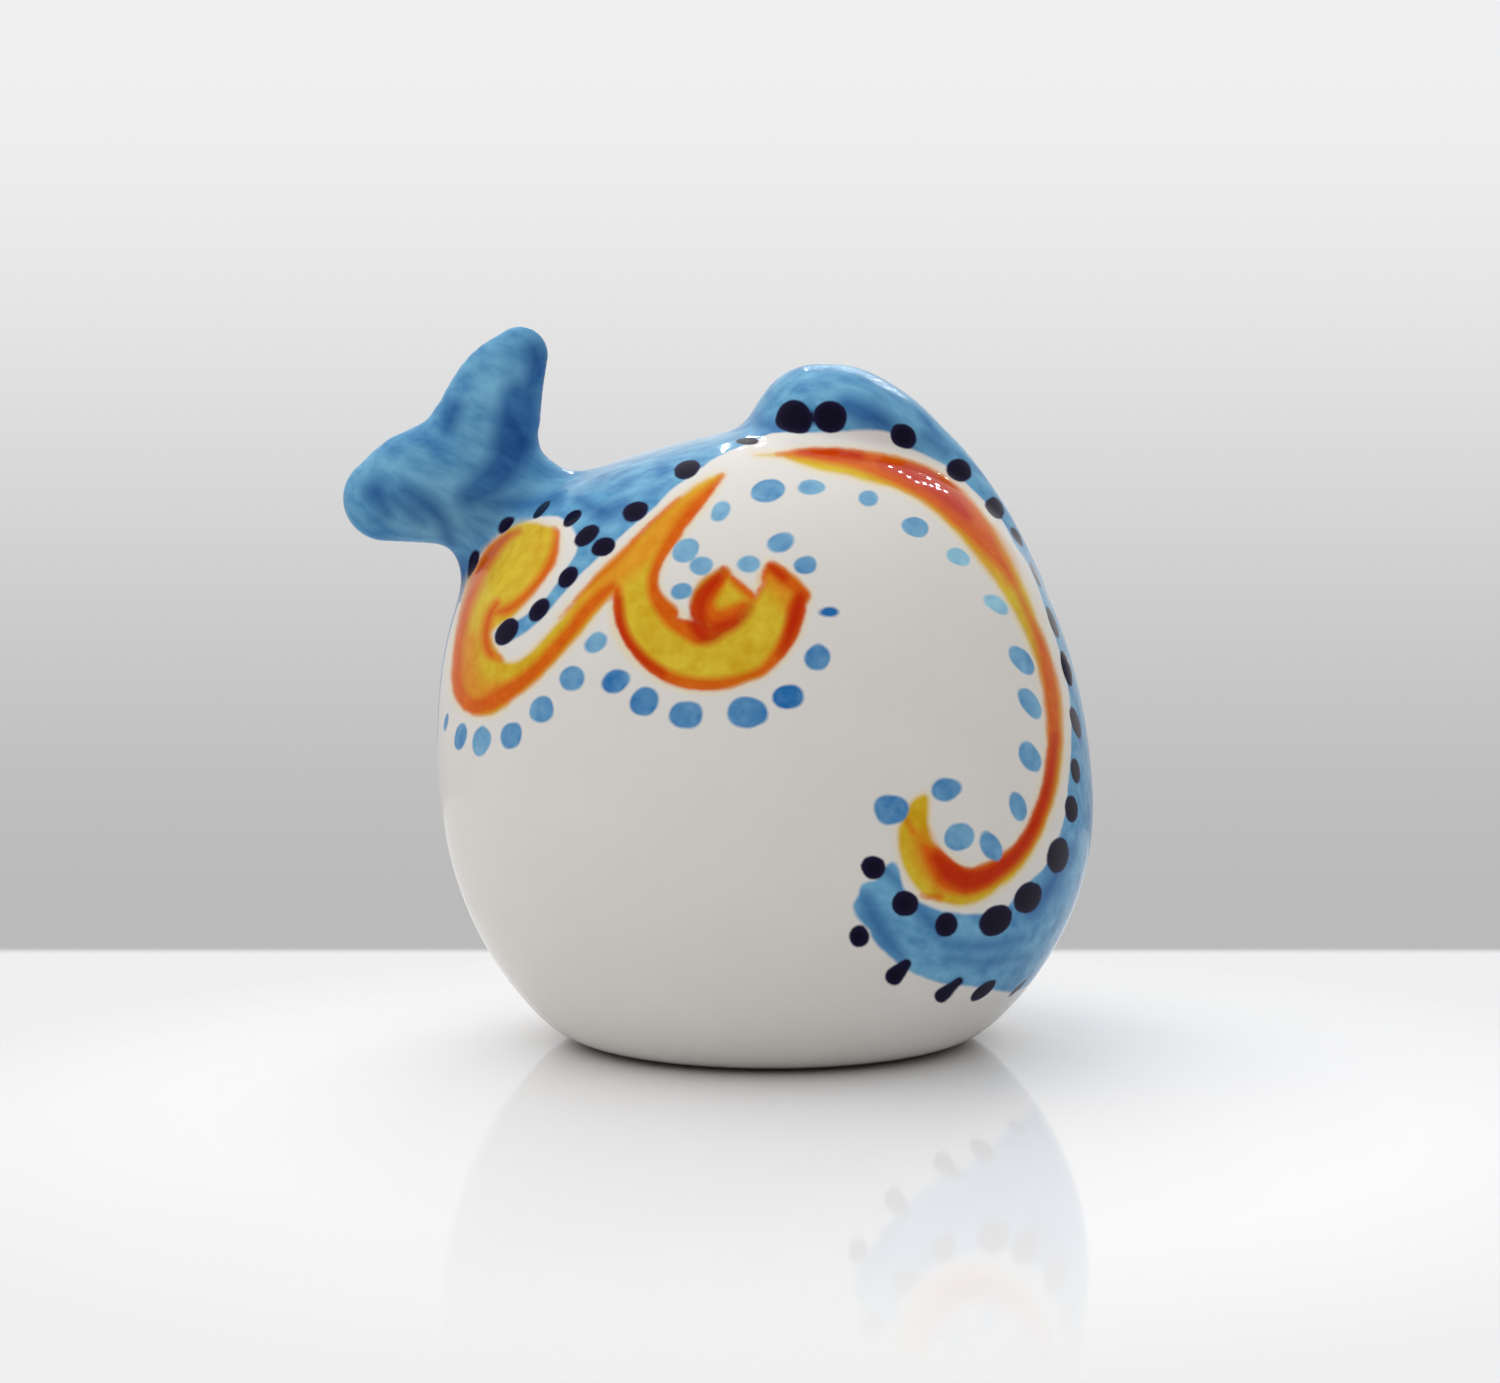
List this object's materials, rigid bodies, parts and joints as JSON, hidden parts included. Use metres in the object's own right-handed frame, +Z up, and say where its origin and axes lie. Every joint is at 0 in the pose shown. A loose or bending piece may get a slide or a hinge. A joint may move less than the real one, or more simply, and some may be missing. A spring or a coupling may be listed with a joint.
{
  "type": "fish figurine",
  "caption": "Round hand-painted glazed earthenware fish ornament with a raised forked tail and a dorsal fin, hollow cast, with a flat foot and a pour hole underneath.",
  "frame": {"origin": "under the middle of the whole fish from nose to tail, on the table", "axes": "+X towards the fish's nose, +Y towards its left side, +Z up"},
  "size_m": [0.1242, 0.1072, 0.1189],
  "materials": {
    "white_glaze": "glossy white tin glaze with brushed colours",
    "blue_glaze": "glossy glaze over a brushed blue wash",
    "navy_glaze": "glossy navy",
    "orange_glaze": "glossy orange"
  },
  "bodies": {
    "root": {"body_shell": "white_glaze", "tail_fin": "blue_glaze", "dorsal_fin": "blue_glaze", "left_eye": "navy_glaze", "right_eye": "navy_glaze", "upper_lip": "orange_glaze", "lower_lip": "orange_glaze"}
  },
  "joints": []
}
